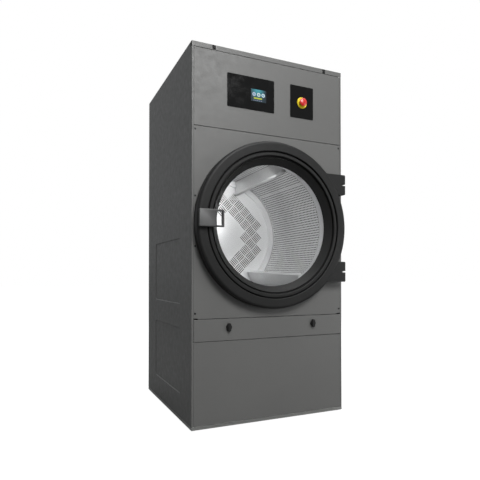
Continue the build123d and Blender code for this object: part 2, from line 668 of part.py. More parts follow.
FAN_R, FAN_BLADES, FAN_SHAFT_R = 95.0, 24, 8.0
WHEEL_LEFT, WHEEL_RIGHT = FAN_LEFT + 22, FAN_RIGHT - 28
with BuildPart() as blower_wheel:
    with BuildSketch(Plane.YZ.offset(WHEEL_RIGHT - 3)):
        with Locations((FAN_Y, FAN_Z)):
            Circle(FAN_R)
    extrude(amount=3)
    with BuildSketch(Plane.YZ.offset(WHEEL_LEFT)):
        with Locations((FAN_Y, FAN_Z)):
            Circle(FAN_R)
            Circle(FAN_R - 20, mode=Mode.SUBTRACT)
    extrude(amount=3)
    with BuildSketch(Plane.YZ.offset(WHEEL_LEFT + 3)):
        with Locations((FAN_Y, FAN_Z)):
            with PolarLocations(FAN_R - 11, FAN_BLADES):
                Rectangle(18, 2, rotation=25)
    extrude(amount=WHEEL_RIGHT - WHEEL_LEFT - 6)
    with BuildSketch(Plane.YZ.offset(WHEEL_RIGHT - 22)):
        with Locations((FAN_Y, FAN_Z)):
            Circle(20)
    extrude(amount=26)
    with BuildSketch(Plane.YZ.offset(WHEEL_RIGHT - 30)):
        with Locations((FAN_Y, FAN_Z)):
            Circle(FAN_SHAFT_R)
    extrude(amount=140)
keep(blower_wheel, "blower_wheel")

with BuildPart() as blower_motor:
    with BuildSketch(Plane.YZ.offset(FAN_RIGHT)):
        with Locations((FAN_Y, FAN_Z)):
            Circle(76)
    extrude(amount=6)
    with BuildSketch(Plane.YZ.offset(FAN_RIGHT + 6)):
        with Locations((FAN_Y, FAN_Z)):
            Circle(60)
    extrude(amount=130)
    fillet(blower_motor.faces().sort_by(Axis.X)[-1].edges(), 8)
    with BuildSketch(Plane.YZ.offset(FAN_RIGHT + 16)):
        with Locations((FAN_Y, FAN_Z)):
            with PolarLocations(60, 20):
                Rectangle(9, 3)
    extrude(amount=104)
    with BuildSketch(Plane.YZ.offset(FAN_RIGHT - 1)):
        with Locations((FAN_Y, FAN_Z)):
            Circle(FAN_SHAFT_R + RUNNING)
    extrude(amount=140, mode=Mode.SUBTRACT)
keep(blower_motor, "blower_motor")

ROUND_FROM = REAR - 40
with BuildPart() as exhaust_collar:
    # square-to-round duct behind the blower, then the spigot that a flue slides over
    for shrink, mode in ((0.0, Mode.ADD), (SHEET, Mode.SUBTRACT)):
        with BuildSketch(upright(OUTLET_Y)):
            with Locations((EXHAUST_X, OUTLET_Z)):
                Rectangle(FAN_WIDTH - 2 * shrink, OUTLET_TALL - 2 * shrink)
        with BuildSketch(upright(ROUND_FROM)):
            with Locations((EXHAUST_X, EXHAUST_Z)):
                Circle(EXHAUST_R - shrink)
        loft(mode=mode)
        with BuildSketch(upright(ROUND_FROM)):
            with Locations((EXHAUST_X, EXHAUST_Z)):
                Circle(EXHAUST_R - shrink)
        extrude(amount=-(REAR + REACH - ROUND_FROM), mode=mode)
keep(exhaust_collar, "exhaust_collar")

with BuildPart() as cable_gland:
    with BuildSketch(upright(REAR - SHEET - 12)):
        with Locations((GLAND_X, GLAND_Z)):
            Circle(GLAND_R - 0.2)
    extrude(amount=-36)
    for y in (REAR - SHEET - 8, REAR):
        with BuildSketch(upright(y)):
            with Locations((GLAND_X, GLAND_Z)):
                RegularPolygon(19, 6)
        extrude(amount=-8)
    with BuildSketch(upright(REAR - 20)):
        with Locations((GLAND_X, GLAND_Z)):
            Circle(6)
    extrude(amount=-60, mode=Mode.SUBTRACT)
keep(cable_gland, "cable_gland")

with BuildPart() as electronics_box:
    with BuildSketch(Plane.YZ.offset(WIDTH / 2 - SHEET)):
        with Locations((0, 1490)):
            RectangleRounded(220, 230, 4)
    extrude(amount=-72)
keep(electronics_box, "electronics_box")

# ---------------------------------------------------------------- door
GLASS_R, GLASS_T = 290.7, 5.0
ring_body = turned([
    (DOOR_REAR, 338), (DOOR_FACE, 338), (DOOR_FACE, DOOR_R), (DOOR_REAR, DOOR_R),
])
with BuildPart() as door_ring:
    add(ring_body)
    rims = door_ring.edges().filter_by(GeomType.CIRCLE)
    fillet(rims.sort_by(SortBy.RADIUS)[-2:].sort_by(Axis.Y)[0], 13)
    face_rims = door_ring.edges().filter_by(GeomType.CIRCLE).group_by(Axis.Y)[0]
    fillet(face_rims.sort_by(SortBy.RADIUS)[0], 3)
    # hinge ears
    with BuildSketch(upright(DOOR_REAR)):
        for side in (-1, 1):
            with Locations((EAR_EDGE - 70, DOOR_Z + side * EAR_Z)):
                RectangleRounded(140, EAR_TALL, 6)
        with Locations((0, DOOR_Z)):
            Circle(350, mode=Mode.SUBTRACT)
    extrude(amount=DOOR_REAR - DOOR_FACE - 2)
    for side in (-1, 1):
        # gap for the cabinet's hinge arm, and the bore for the bushes
        with BuildSketch(Plane.XY.offset(DOOR_Z + side * EAR_Z - KNUCKLE / 2 - 0.5)):
            with Locations((HINGE_X - 11, (DOOR_FACE + DOOR_REAR) / 2)):
                Rectangle(30, 60, align=(Align.MIN, Align.CENTER))
        extrude(amount=KNUCKLE + 1, mode=Mode.SUBTRACT)
        with BuildSketch(Plane.XY.offset(DOOR_Z + side * EAR_Z - EAR_TALL / 2 + 6)):
            with Locations((HINGE_X, HINGE_Y)):
                Circle(7)
        extrude(amount=EAR_TALL - 12, mode=Mode.SUBTRACT)
keep(door_ring, "door_ring")

# two grooves part the inner ring's face from the outer ring and from its own funnel
funnel = turned([
    (DOOR_REAR, 337.7), (DOOR_FACE + 12, 337.7), (DOOR_FACE + 12, 335), (DOOR_FACE + 4, 332.5),
    (DOOR_FACE + 2, 330), (DOOR_FACE + 2, 320), (DOOR_FACE + 4, 317.5), (DOOR_FACE + 16, 316),
    (DOOR_FACE + 16, 311), (DOOR_FACE + 9, 308), (FRONT - 12, 284), (FRONT - 10, 281), (FRONT - 9, 281),
    (FRONT - 9, GLASS_R + 0.3), (DOOR_REAR, GLASS_R + 0.3),
])
with BuildPart() as door_inner_ring:
    add(funnel)
keep(door_inner_ring, "door_inner_ring")

with BuildPart() as door_glass:
    with BuildSketch(upright(FRONT - 9)):
        with Locations((0, DOOR_Z)):
            Circle(GLASS_R)
    extrude(amount=-GLASS_T)
keep(door_glass, "door_glass")

with BuildPart() as glass_clamp:
    with BuildSketch(upright(DOOR_REAR)):
        with Locations((0, DOOR_Z)):
            Circle(303)
            Circle(284, mode=Mode.SUBTRACT)
            with PolarLocations(297, 12):
                Circle(2, mode=Mode.SUBTRACT)
    extrude(amount=-2)
keep(glass_clamp, "glass_clamp")

gasket_ring = turned([
    (DOOR_REAR, 306), (DOOR_REAR, 320), (FRONT - CLEAR, 317), (FRONT - CLEAR, 309),
])
with BuildPart() as door_gasket:
    add(gasket_ring)
keep(door_gasket, "door_gasket")

HANDLE_Z = DOOR_Z + 13.0
HANDLE = 75.0
HANDLE_LEFT, HANDLE_RIGHT = -380.0, -268.0
BAR = 9.0
WINDOW_W, WINDOW_H = 26.0, 60.0
SPACER = 9.0
with BuildPart() as door_handle:
    with BuildSketch(upright(DOOR_FACE)):
        with Locations((-359, HANDLE_Z)):
            Rectangle(34, HANDLE - 16)
    extrude(amount=SPACER)
    with BuildSketch(upright(DOOR_FACE - SPACER)):
        with Locations(((HANDLE_LEFT + HANDLE_RIGHT) / 2, HANDLE_Z)):
            RectangleRounded(HANDLE_RIGHT - HANDLE_LEFT, HANDLE, 3)
        with Locations((HANDLE_RIGHT - BAR - WINDOW_W / 2, HANDLE_Z)):
            Rectangle(WINDOW_W, WINDOW_H, mode=Mode.SUBTRACT)
    extrude(amount=REACH - (FRONT - DOOR_FACE) - SPACER)
keep(door_handle, "door_handle")

with BuildPart() as door_hinge_bushes:
    for side in (-1, 1):
        middle = DOOR_Z + side * EAR_Z
        for low in (middle - EAR_TALL / 2 + 6, middle + KNUCKLE / 2 + 0.5):
            with BuildSketch(Plane.XY.offset(low)):
                with Locations((HINGE_X, HINGE_Y)):
                    Circle(7)
                    Circle(5 + RUNNING, mode=Mode.SUBTRACT)
            extrude(amount=EAR_TALL / 2 - 6 - KNUCKLE / 2 - 0.5)
keep(door_hinge_bushes, "door_hinge_bushes")

with BuildPart() as door_catch_plate:
    with BuildSketch(upright(DOOR_REAR)):
        with Locations((MAGNET_X, MAGNET_Z)):
            Circle(12)
    extrude(amount=-1.5)
keep(door_catch_plate, "door_catch_plate")

with BuildPart() as door_magnet:
    with BuildSketch(upright(FRONT - 1.8)):
        with Locations((MAGNET_X, MAGNET_Z)):
            Circle(MAGNET_R)
    extrude(amount=-(1.8 + SHEET + 12))
    with BuildSketch(upright(FRONT + SHEET)):
        with Locations((MAGNET_X, MAGNET_Z)):
            Circle(MAGNET_R + 5)
    extrude(amount=-3)
keep(door_magnet, "door_magnet")

with BuildPart() as door_hinge_brackets:
    for side in (-1, 1):
        middle = DOOR_Z + side * EAR_Z
        with BuildSketch(Plane.XY.offset(middle - KNUCKLE / 2)):
            with Locations((HINGE_X, HINGE_Y)):
                Circle(9)
            with Locations((HINGE_X - 9, HINGE_Y)):
                Rectangle(14, FRONT + SHEET + 4 - HINGE_Y, align=Align.MIN)
        extrude(amount=KNUCKLE)
        with BuildSketch(upright(FRONT + SHEET)):
            with Locations((355, middle)):
                Rectangle(50, EAR_TALL)
        extrude(amount=-4)
        with BuildSketch(Plane.XY.offset(middle - KNUCKLE)):
            with Locations((HINGE_X, HINGE_Y)):
                Circle(5)
        extrude(amount=2 * KNUCKLE, mode=Mode.SUBTRACT)
keep(door_hinge_brackets, "door_hinge_brackets")

PANEL_PIN_R = 2.0
with BuildPart() as hinge_pins:
    for side in (-1, 1):
        with BuildSketch(Plane.XY.offset(DOOR_Z + side * EAR_Z - EAR_TALL / 2 + 8)):
            with Locations((HINGE_X, HINGE_Y)):
                Circle(5)
        extrude(amount=EAR_TALL - 16)
        with BuildSketch(Plane.YZ.offset(side * CONTROL_HINGE_X - LUG_OFFSET - 1.5)):
            with Locations((CONTROL_HINGE_Y, CONTROL_HINGE_Z)):
                Circle(PANEL_PIN_R)
        extrude(amount=2 * LUG_OFFSET + 3)
keep(hinge_pins, "hinge_pins")

# ---------------------------------------------------------------- control panel
SCREEN_X, SCREEN_W = -108.0, 238.0
SCREEN_Z, SCREEN_H = 1507.75, 151.5
DISPLAY_X, DISPLAY_Z, DISPLAY_W, DISPLAY_H = -70.0, 1502.0, 78.0, 56.0
STOP_X, STOP_Z = 162.0, 1505.0
STOP_PLATE_W, STOP_PLATE_H = 128.0, 156.0
PLATE_T = 1.5
LEAF_W = 14.0

control_blank = folded_tray(2 * INNER, CONTROL_BOTTOM, CONTROL_TOP, FRONT, TRAY)
with BuildPart() as control_panel:
    add(control_blank)
    with BuildSketch(upright(FRONT)):
        with Locations((SCREEN_X, SCREEN_Z)):
            Rectangle(SCREEN_W - 24, SCREEN_H - 24)
        with Locations((STOP_X, STOP_Z)):
            Circle(12)
    extrude(amount=-SHEET, mode=Mode.SUBTRACT)
    # the hinge leaves pass through the top fold
    with BuildSketch(upright(FRONT + SHEET)):
        for side in (-1, 1):
            with Locations((side * CONTROL_HINGE_X, CONTROL_TOP - SHEET / 2)):
                Rectangle(LEAF_W + 1, SHEET)
    extrude(amount=-6, mode=Mode.SUBTRACT)
keep(control_panel, "control_panel")

with BuildPart() as control_hinge_leaves:
    for side in (-1, 1):
        with BuildSketch(Plane.YZ.offset(side * CONTROL_HINGE_X - LEAF_W / 2)):
            with Locations((CONTROL_HINGE_Y, CONTROL_HINGE_Z)):
                Circle(6)
            with Locations((FRONT + SHEET, CONTROL_HINGE_Z - 45)):
                Rectangle(3, 45, align=Align.MIN)
            with Locations((CONTROL_HINGE_Y, CONTROL_HINGE_Z)):
                Circle(PANEL_PIN_R + RUNNING, mode=Mode.SUBTRACT)
        extrude(amount=LEAF_W)
keep(control_hinge_leaves, "control_hinge_leaves")

with BuildPart() as touch_screen:
    with BuildSketch(upright(FRONT)):
        with Locations((SCREEN_X, SCREEN_Z)):
            RectangleRounded(SCREEN_W, SCREEN_H, 4)
        with Locations((DISPLAY_X, DISPLAY_Z)):
            Rectangle(DISPLAY_W, DISPLAY_H, mode=Mode.SUBTRACT)
    extrude(amount=PLATE_T)
    # the controller's housing reaches back through the panel
    with BuildSketch(upright(FRONT)):
        with Locations((SCREEN_X, SCREEN_Z)):
            Rectangle(SCREEN_W - 30, SCREEN_H - 30)
    extrude(amount=-32)
keep(touch_screen, "touch_screen")

with BuildPart() as display:
    with BuildSketch(upright(FRONT)):
        with Locations((DISPLAY_X, DISPLAY_Z)):
            Rectangle(DISPLAY_W, DISPLAY_H)
    extrude(amount=PLATE_T - 0.2)
keep(display, "display")

with BuildPart() as estop_plate:
    with BuildSketch(upright(FRONT)):
        with Locations((STOP_X, SCREEN_Z)):
            RectangleRounded(STOP_PLATE_W, STOP_PLATE_H, 4)
        with Locations((STOP_X, STOP_Z)):
            Circle(12, mode=Mode.SUBTRACT)
    extrude(amount=PLATE_T)
keep(estop_plate, "estop_plate")

STOP_FACE = FRONT - PLATE_T - 3
with BuildPart() as estop_collar:
    with BuildSketch(upright(FRONT - PLATE_T)):
        with Locations((STOP_X, STOP_Z)):
            Circle(27)
    extrude(amount=3, taper=30)
    with BuildSketch(upright(STOP_FACE - 1)):
        with Locations((STOP_X, STOP_Z)):
            Circle(12)
    extrude(amount=-5, mode=Mode.SUBTRACT)
keep(estop_collar, "estop_collar")

STEM_R, SPIGOT_R, SPIGOT = 8.0, 5.0, 8.0
with BuildPart() as estop_contact_block:
    with BuildSketch(upright(FRONT + SHEET)):
        with Locations((STOP_X, STOP_Z)):
            Rectangle(42, 42)
            Circle(STEM_R + RUNNING, mode=Mode.SUBTRACT)
    extrude(amount=-40)
keep(estop_contact_block, "estop_contact_block")

with BuildPart() as estop_stem:
    with BuildSketch(upright(FRONT + 28)):
        with Locations((STOP_X, STOP_Z)):
            Circle(STEM_R)
    extrude(amount=28 + 9)
    with BuildSketch(upright(FRONT - 9)):
        with Locations((STOP_X, STOP_Z)):
            Circle(SPIGOT_R)
    extrude(amount=SPIGOT)
keep(estop_stem, "estop_stem")

HEAD_BASE = FRONT - 9.3
HEAD_R, HEAD_RIM, HEAD_TOP = 19.0, HEAD_BASE - 8, HEAD_BASE - 13
DOME_R = (HEAD_R**2 + (HEAD_RIM - HEAD_TOP) ** 2) / (2 * (HEAD_RIM - HEAD_TOP))
DOME_HALF = math.asin(HEAD_R / DOME_R) / 2
DOME_MIDDLE = (
    HEAD_TOP + DOME_R * (1 - math.cos(DOME_HALF)), STOP_Z + DOME_R * math.sin(DOME_HALF)
)
with BuildPart() as estop_head:
    # mushroom: neck, flared rim and a low dome
    with BuildSketch(Plane.YZ.offset(STOP_X)):
        with BuildLine():
            Polyline(
                (HEAD_BASE, STOP_Z), (HEAD_BASE, STOP_Z + 11), (HEAD_BASE - 2.5, STOP_Z + 12),
                (HEAD_BASE - 4.5, STOP_Z + HEAD_R), (HEAD_RIM, STOP_Z + HEAD_R),
            )
            ThreePointArc((HEAD_RIM, STOP_Z + HEAD_R), DOME_MIDDLE, (HEAD_TOP, STOP_Z))
            Line((HEAD_TOP, STOP_Z), (HEAD_BASE, STOP_Z))
        make_face()
    revolve(axis=Axis((STOP_X, 0, STOP_Z), (0, 1, 0)))
    with BuildSketch(upright(HEAD_BASE + 1)):
        with Locations((STOP_X, STOP_Z)):
            Circle(SPIGOT_R + RUNNING)
    extrude(amount=SPIGOT + 2, mode=Mode.SUBTRACT)
keep(estop_head, "estop_head")

# ---------------------------------------------------------------- lint drawer
DRAWER_FACE = FRONT - 3.0
DRAWER_DEPTH = 15.0
LATCH_X, LATCH_Z, LATCH_R, LATCH_SHAFT_R = 220.0, 442.0, 13.5, 7.0
GRIP_W, GRIP_H = 15.0, 38.0
TONGUE_Y = FRONT + TRAY + 0.5

drawer_blank = folded_tray(2 * INNER, DRAWER_BOTTOM, DRAWER_TOP - SEAM, DRAWER_FACE, DRAWER_DEPTH)
with BuildPart() as drawer_front:
    add(drawer_blank)
    with BuildSketch(upright(DRAWER_FACE)):
        with Locations((-LATCH_X, LATCH_Z), (LATCH_X, LATCH_Z)):
            Circle(LATCH_SHAFT_R)
    extrude(amount=-DRAWER_DEPTH, mode=Mode.SUBTRACT)
keep(drawer_front, "drawer_front")

SCREEN_EDGE = PLENUM_X - 6.0
SCREEN_BACK = PLENUM_BACK - 14
DRAWER_PLATE_Y = PLENUM_FRONT - 5
with BuildPart() as lint_screen_frame:
    with BuildSketch(Plane.XY.offset(RUNNER_Z + CLEAR)):
        with Locations((0, (DRAWER_PLATE_Y + SCREEN_BACK) / 2)):
            length = SCREEN_BACK - DRAWER_PLATE_Y
            Rectangle(2 * SCREEN_EDGE, length)
            for side in (-1, 1):
                with Locations((side * (SCREEN_EDGE / 2 - 7), 0)):
                    Rectangle(SCREEN_EDGE - 34, length - 44, mode=Mode.SUBTRACT)
    extrude(amount=14)
    # plate that closes the plenum's mouth, on stand-offs from the drawer's front
    with BuildSketch(upright(DRAWER_PLATE_Y)):
        with Locations((0, (PLENUM_BOTTOM + 3 + DRAWER_MOUTH - 3) / 2)):
            Rectangle(2 * SCREEN_EDGE, DRAWER_MOUTH - PLENUM_BOTTOM - 6)
    extrude(amount=-3)
    with BuildSketch(upright(DRAWER_PLATE_Y)):
        for x in (-110, 110):
            with Locations((x, 424)):
                Rectangle(24, 24)
    extrude(amount=DRAWER_PLATE_Y - DRAWER_FACE - SHEET)
keep(lint_screen_frame, "lint_screen_frame")

with BuildPart() as lint_mesh:
    with BuildSketch(Plane.XY.offset(RUNNER_Z + CLEAR + 14)):
        with Locations((0, (PLENUM_FRONT + SCREEN_BACK) / 2)):
            Rectangle(2 * SCREEN_EDGE - 20, SCREEN_BACK - PLENUM_FRONT - 10)
    extrude(amount=0.8)
keep(lint_mesh, "lint_mesh")

for side, name in ((-1, "left"), (1, "right")):
    with BuildPart() as latch:
        with BuildSketch(upright(DRAWER_FACE - CLEAR)):
            with Locations((side * LATCH_X, LATCH_Z)):
                Circle(LATCH_R)
        extrude(amount=6)
        # upright grip, rounded at both ends
        with BuildSketch(upright(DRAWER_FACE - CLEAR)):
            with Locations((side * LATCH_X, LATCH_Z)):
                RectangleRounded(GRIP_W, GRIP_H, GRIP_W / 2 - 0.5)
        extrude(amount=12)
        fillet(latch.faces().sort_by(Axis.Y)[0].edges(), 1.5)
        with BuildSketch(upright(DRAWER_FACE - CLEAR)):
            with Locations((side * LATCH_X, LATCH_Z)):
                Circle(LATCH_SHAFT_R - RUNNING)
        extrude(amount=-(TONGUE_Y - DRAWER_FACE + CLEAR))
        with BuildSketch(upright(TONGUE_Y)):
            with Locations((side * LATCH_X, LATCH_Z)):
                Circle(LATCH_SHAFT_R + 2)
            with Locations((side * (LATCH_X - 22), LATCH_Z)):
                Rectangle(44, 14)
        extrude(amount=-3)
    keep(latch, f"latch_{name}")
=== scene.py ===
import math
import bpy
from mathutils import Matrix, Vector


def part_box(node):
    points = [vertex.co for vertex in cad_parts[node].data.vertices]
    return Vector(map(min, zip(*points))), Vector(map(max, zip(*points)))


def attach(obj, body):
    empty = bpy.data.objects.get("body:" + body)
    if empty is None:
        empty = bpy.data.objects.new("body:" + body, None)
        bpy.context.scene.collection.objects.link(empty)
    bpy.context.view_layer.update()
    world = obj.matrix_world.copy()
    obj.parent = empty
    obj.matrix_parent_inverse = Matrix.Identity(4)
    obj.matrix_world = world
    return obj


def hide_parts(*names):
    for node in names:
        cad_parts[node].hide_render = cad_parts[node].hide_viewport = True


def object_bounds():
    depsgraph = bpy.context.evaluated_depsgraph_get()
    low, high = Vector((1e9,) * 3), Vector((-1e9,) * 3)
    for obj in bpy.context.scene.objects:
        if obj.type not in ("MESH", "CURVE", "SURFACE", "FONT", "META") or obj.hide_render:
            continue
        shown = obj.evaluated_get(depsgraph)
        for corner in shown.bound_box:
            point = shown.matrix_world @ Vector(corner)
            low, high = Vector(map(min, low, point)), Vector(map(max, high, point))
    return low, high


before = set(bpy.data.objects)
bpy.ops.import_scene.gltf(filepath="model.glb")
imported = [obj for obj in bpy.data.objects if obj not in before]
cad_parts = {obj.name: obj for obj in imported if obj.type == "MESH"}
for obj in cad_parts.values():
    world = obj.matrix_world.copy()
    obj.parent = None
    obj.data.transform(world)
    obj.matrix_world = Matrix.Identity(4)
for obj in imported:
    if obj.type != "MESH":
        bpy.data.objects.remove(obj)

cad_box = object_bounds()

# The studio: a white floor that runs into a white surround, and large soft lamps. The main
# lamp hangs high in front, so the front fades downwards and the left side falls into shade,
# and a weak lamp fills in from the right.
floor_z = cad_box[0].z
bpy.context.scene.view_settings.view_transform = "Standard"

bpy.ops.object.select_all(action="DESELECT")
bpy.ops.mesh.primitive_plane_add(size=60, location=(0, 0, floor_z - 0.0005))
floor = bpy.context.object
floor.name = "studio_floor"
pale = bpy.data.materials.new("pale_floor")
pale.use_nodes = True
ground = pale.node_tree
matt = ground.nodes["Principled BSDF"]
matt.inputs["Base Color"].default_value = (0.14, 0.14, 0.14, 1)
matt.inputs["Roughness"].default_value = 0.9
# to the eye the floor is nearly white, while it throws back only a seventh of the light
seen_floor = ground.nodes.new("ShaderNodeAddShader")
glow = ground.nodes.new("ShaderNodeEmission")
glow.inputs["Strength"].default_value = 0.94
ray = ground.nodes.new("ShaderNodeLightPath")
choice = ground.nodes.new("ShaderNodeMixShader")
ground.links.new(matt.outputs[0], seen_floor.inputs[0])
ground.links.new(glow.outputs[0], seen_floor.inputs[1])
ground.links.new(ray.outputs["Is Camera Ray"], choice.inputs["Fac"])
ground.links.new(matt.outputs[0], choice.inputs[1])
ground.links.new(seen_floor.outputs[0], choice.inputs[2])
ground.links.new(choice.outputs[0], ground.nodes["Material Output"].inputs["Surface"])
floor.data.materials.append(pale)

world = bpy.data.worlds.new("white_surround")
bpy.context.scene.world = world
world.use_nodes = True
sky = world.node_tree
seen = sky.nodes["Background"]
seen.inputs["Color"].default_value = (1, 1, 1, 1)
seen.inputs["Strength"].default_value = 1.0
dim = sky.nodes.new("ShaderNodeBackground")
dim.inputs["Color"].default_value = (0.96, 0.98, 1, 1)
dim.inputs["Strength"].default_value = 0.42
path = sky.nodes.new("ShaderNodeLightPath")
either = sky.nodes.new("ShaderNodeMixShader")
sky.links.new(path.outputs["Is Camera Ray"], either.inputs["Fac"])
sky.links.new(dim.outputs[0], either.inputs[1])
sky.links.new(seen.outputs[0], either.inputs[2])
sky.links.new(either.outputs[0], sky.nodes["World Output"].inputs["Surface"])


def lamp(name, place, target, size, watts):
    """Rectangular area lamp at a place, which shines towards a target."""
    light = bpy.data.lights.new(name, "AREA")
    light.shape = "RECTANGLE"
    light.size, light.size_y = size
    light.energy = watts
    thing = bpy.data.objects.new(name, light)
    bpy.context.scene.collection.objects.link(thing)
    thing.location = place
    thing.rotation_euler = (Vector(target) - Vector(place)).to_track_quat("-Z", "Y").to_euler()


lamp("main_lamp", (0.2, -4.3, 3.8), (0, 0, 1.0), (2.0, 2.0), 200)
lamp("floor_lamp", (0.6, 0.4, 5.5), (0, 0, 0), (5.0, 5.0), 260)
lamp("fill_lamp", (3.4, -2.6, 0.7), (0, 0, 0.7), (1.2, 2.0), 34)
lamp("back_lamp", (2.4, 3.4, 2.6), (0, 0, 0.9), (2.0, 2.0), 120)

# The camera stands left of the door, below chest height, and looks a little to the right. Its
# lens is shifted upwards, so that the cabinet's upright edges stay parallel.
YAW, TILT = math.radians(24.41), math.radians(0.79)
camera = bpy.data.objects.new("camera", bpy.data.cameras.new("camera"))
bpy.context.scene.collection.objects.link(camera)
camera.location = (-1.0083, -2.2917, 0.6682)
camera.rotation_euler = (math.pi / 2 + TILT, 0, -YAW)
camera.data.sensor_width = 36
camera.data.lens = 34.36
camera.data.shift_x = -0.005
camera.data.shift_y = 0.0627
camera.data.clip_end = 50
bpy.context.scene.camera = camera


class Varying:
    """A number or vector that changes over a surface: a shader socket with arithmetic."""

    def __init__(self, finish, socket):
        self.finish, self.socket = finish, socket

    def maths(self, operation, *values):
        return self.finish.node("ShaderNodeMath", {"operation": operation}, values)

    def __add__(self, other):
        return self.maths("ADD", self, other)

    def __sub__(self, other):
        return self.maths("SUBTRACT", self, other)

    def __rsub__(self, other):
        return self.maths("SUBTRACT", other, self)

    def __mul__(self, other):
        return self.maths("MULTIPLY", self, other)

    def __lt__(self, other):
        return self.maths("LESS_THAN", self, other)

    def __abs__(self):
        return self.maths("ABSOLUTE", self)

    __radd__ = __add__
    __rmul__ = __mul__


class Finish:
    """One material. Fixed values go in as keywords; node() adds what varies."""

    def __init__(self, name, colour, roughness=0.5, metallic=0.0, **fixed):
        self.material = bpy.data.materials.new(name)
        self.material.use_nodes = True
        self.tree = self.material.node_tree
        self.shader = self.tree.nodes["Principled BSDF"]
        self.colour = (*colour, 1)
        self.shader.inputs["Base Color"].default_value = self.colour
        self.shader.inputs["Roughness"].default_value = roughness
        self.shader.inputs["Metallic"].default_value = metallic
        for socket, value in fixed.items():
            self.shader.inputs[socket.replace("_", " ")].default_value = value
        self.place = self.node("ShaderNodeTexCoord", output="Object")

    def node(self, kind, settings=None, inputs=(), output=0):
        """Adds a node: its settings, then its inputs by number or by name."""
        made = self.tree.nodes.new(kind)
        for key, value in (settings or {}).items():
            setattr(made, key, value)
        pairs = inputs.items() if isinstance(inputs, dict) else enumerate(inputs)
        for key, value in pairs:
            if isinstance(value, Varying):
                self.tree.links.new(value.socket, made.inputs[key])
            else:
                made.inputs[key].default_value = value
        return Varying(self, made.outputs[output])

    def noise(self, scale, detail=3.0, stretch=(1, 1, 1), roughness=0.5):
        """Cloudy noise from 0 to 1; stretch scales the three axes."""
        where = self.node("ShaderNodeMapping", inputs={"Vector": self.place, "Scale": stretch})
        inputs = {"Vector": where, "Scale": scale, "Detail": detail, "Roughness": roughness}
        return self.node("ShaderNodeTexNoise", inputs=inputs)

    def spread(self, value, from_low, from_high, to_low, to_high):
        """Maps a value from one range to another, held at its ends."""
        return self.node("ShaderNodeMapRange", inputs=[value, from_low, from_high, to_low, to_high])

    def blend(self, share, first, second):
        """Mixes two colours."""
        inputs = {0: share, 6: first, 7: second}
        return self.node("ShaderNodeMix", {"data_type": "RGBA"}, inputs, output=2)

    def tinted(self, share, second):
        """The base colour, going over to a second one by share."""
        self.feed("Base Color", self.blend(share, self.colour, (*second, 1)))

    def feed(self, socket, value):
        self.tree.links.new(value.socket, self.shader.inputs[socket])

    def bumps(self, heights, distance, strength=1.0):
        """Surface relief from a height between 0 and 1, distance in metres."""
        inputs = {"Height": heights, "Distance": distance, "Strength": strength}
        self.feed("Normal", self.node("ShaderNodeBump", inputs=inputs))

    def axes(self):
        """The x, y and z of a point of the surface."""
        parts = self.tree.nodes.new("ShaderNodeSeparateXYZ")
        self.tree.links.new(self.place.socket, parts.inputs[0])
        return [Varying(self, out) for out in parts.outputs]

    def cover(self, *pieces):
        """Gives these objects this one material; a name means a CAD node."""
        for piece in pieces:
            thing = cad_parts[piece] if isinstance(piece, str) else piece
            thing.data.materials.clear()
            thing.data.materials.append(self.material)


# The cabinet's painted sheets: side panels, top cover, front panels, control panel and the
# drawer's front. Steel sheet, folded and pressed, with a dark grey fine-texture powder coat.
paint = Finish("powder_coat", (0.112, 0.112, 0.108), roughness=0.5)
grain = paint.noise(1400, detail=2)
cloud = paint.noise(2.2, detail=4)
rubbed = paint.noise(38, detail=5)
paint.tinted(paint.spread(cloud, 0.3, 0.7, 0.0, 0.35), (0.092, 0.092, 0.09))
paint.feed("Roughness", paint.spread(rubbed, 0.3, 0.7, 0.42, 0.56))
paint.bumps(grain, 0.00025, 0.55)
paint.cover(
    "left_side_panel", "right_side_panel", "top_cover", "front_panel", "lower_front_panel",
    "control_panel", "drawer_front",
)

# Galvanised sheet with its spangle: the rear panel, the louvre and the ducts and boxes
# inside. Cut, folded and spot welded, left unpainted.
zinc_sheet = Finish("galvanised_sheet", (0.5, 0.51, 0.52), roughness=0.45, metallic=0.85)
spangle = zinc_sheet.node("ShaderNodeTexVoronoi", inputs={"Vector": zinc_sheet.place, "Scale": 55.0})
zinc_sheet.tinted(zinc_sheet.spread(spangle, 0.0, 0.9, 0.0, 1.0), (0.36, 0.37, 0.385))
zinc_sheet.feed("Roughness", zinc_sheet.spread(spangle, 0.0, 0.9, 0.34, 0.58))
zinc_sheet.bumps(zinc_sheet.noise(220), 0.0001, 0.5)
zinc_sheet.cover(
    "rear_panel", "intake_louvre", "lint_plenum", "heater_box",
    "blower_housing", "exhaust_collar", "lint_screen_frame", "blower_wheel",
)

# Zinc plated steel parts: frame, feet, brackets, screws and shafts. Bent, drilled or turned,
# then plated bright.
zinc_plate = Finish("zinc_plating", (0.46, 0.46, 0.44), roughness=0.36, metallic=0.95)
streak = zinc_plate.noise(30, detail=4, stretch=(1, 1, 6))
zinc_plate.tinted(zinc_plate.spread(streak, 0.3, 0.7, 0.0, 0.6), (0.33, 0.34, 0.34))
zinc_plate.feed("Roughness", zinc_plate.spread(streak, 0.3, 0.7, 0.28, 0.5))
zinc_plate.bumps(zinc_plate.noise(600), 0.00005, 0.5)
zinc_plate.cover(
    "base_frame", "levelling_feet", "drum_bearings", "motor_bracket",
    "door_magnet", "door_hinge_brackets", "door_catch_plate", "drum_shaft", "motor_rotor",
)

# The casing round the drum and the bulkhead behind it: steel sheet, coloured near-black as painted
# shade, so that the gaps behind the drum's holes and slots stay dark.
# painted shade: this near-black colour stands for the shade behind the drum's holes and slots
painted_shade = Finish("painted_shade_black", (0.02, 0.02, 0.02), roughness=0.8)
dust = painted_shade.noise(40, detail=6)
painted_shade.tinted(painted_shade.spread(dust, 0.45, 0.75, 0.0, 0.7), (0.07, 0.068, 0.065))
painted_shade.bumps(dust, 0.0004, 0.5)
painted_shade.cover("drum_casing", "rear_bulkhead")

